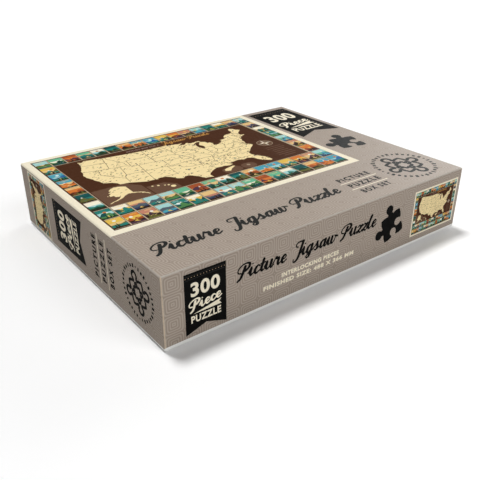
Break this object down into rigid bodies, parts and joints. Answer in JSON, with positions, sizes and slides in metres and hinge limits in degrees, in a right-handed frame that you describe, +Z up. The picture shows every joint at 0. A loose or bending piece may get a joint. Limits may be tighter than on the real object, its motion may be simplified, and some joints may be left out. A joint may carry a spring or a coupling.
{
  "type": "boxed jigsaw puzzle",
  "caption": "Low two-piece telescoping box of paper-wrapped greyboard with a lift-off lid, holding a film bag of loose interlocking jigsaw pieces.",
  "frame": {"origin": "under the middle of the base, on the surface that the box stands on", "axes": "+X along the long edge of the front, to the right; +Y to the back; +Z up, out of the lid"},
  "size_m": [0.254, 0.203, 0.0486],
  "materials": {
    "printed_wrap": "satin",
    "white_wrap": "matte",
    "greyboard": "matte",
    "stay_tape": "matte",
    "bag_film": "gloss",
    "puzzle_board": "matte"
  },
  "bodies": {
    "base": {"base_board": "greyboard", "base_corner_stays": "stay_tape", "base_wrap": "white_wrap", "base_bottom_paper": "white_wrap", "piece_bag": "bag_film", "piece_layer_01": "puzzle_board", "piece_layer_02": "puzzle_board", "piece_layer_03": "puzzle_board", "piece_layer_04": "puzzle_board", "piece_layer_05": "puzzle_board", "piece_layer_06": "puzzle_board", "piece_layer_07": "puzzle_board", "piece_layer_08": "puzzle_board", "piece_layer_09": "puzzle_board", "piece_layer_10": "puzzle_board", "piece_layer_11": "puzzle_board", "piece_layer_12": "puzzle_board", "piece_layer_13": "puzzle_board", "piece_layer_14": "puzzle_board", "piece_layer_15": "puzzle_board"},
    "lid": {"lid_board": "greyboard", "lid_corner_stays": "stay_tape", "lid_wrap": "printed_wrap"}
  },
  "joints": [
    {"name": "lid_lift", "type": "slide", "parent": "base", "child": "lid", "axis": [0, 0, 1], "range_m": [0, 0.076]}
  ]
}
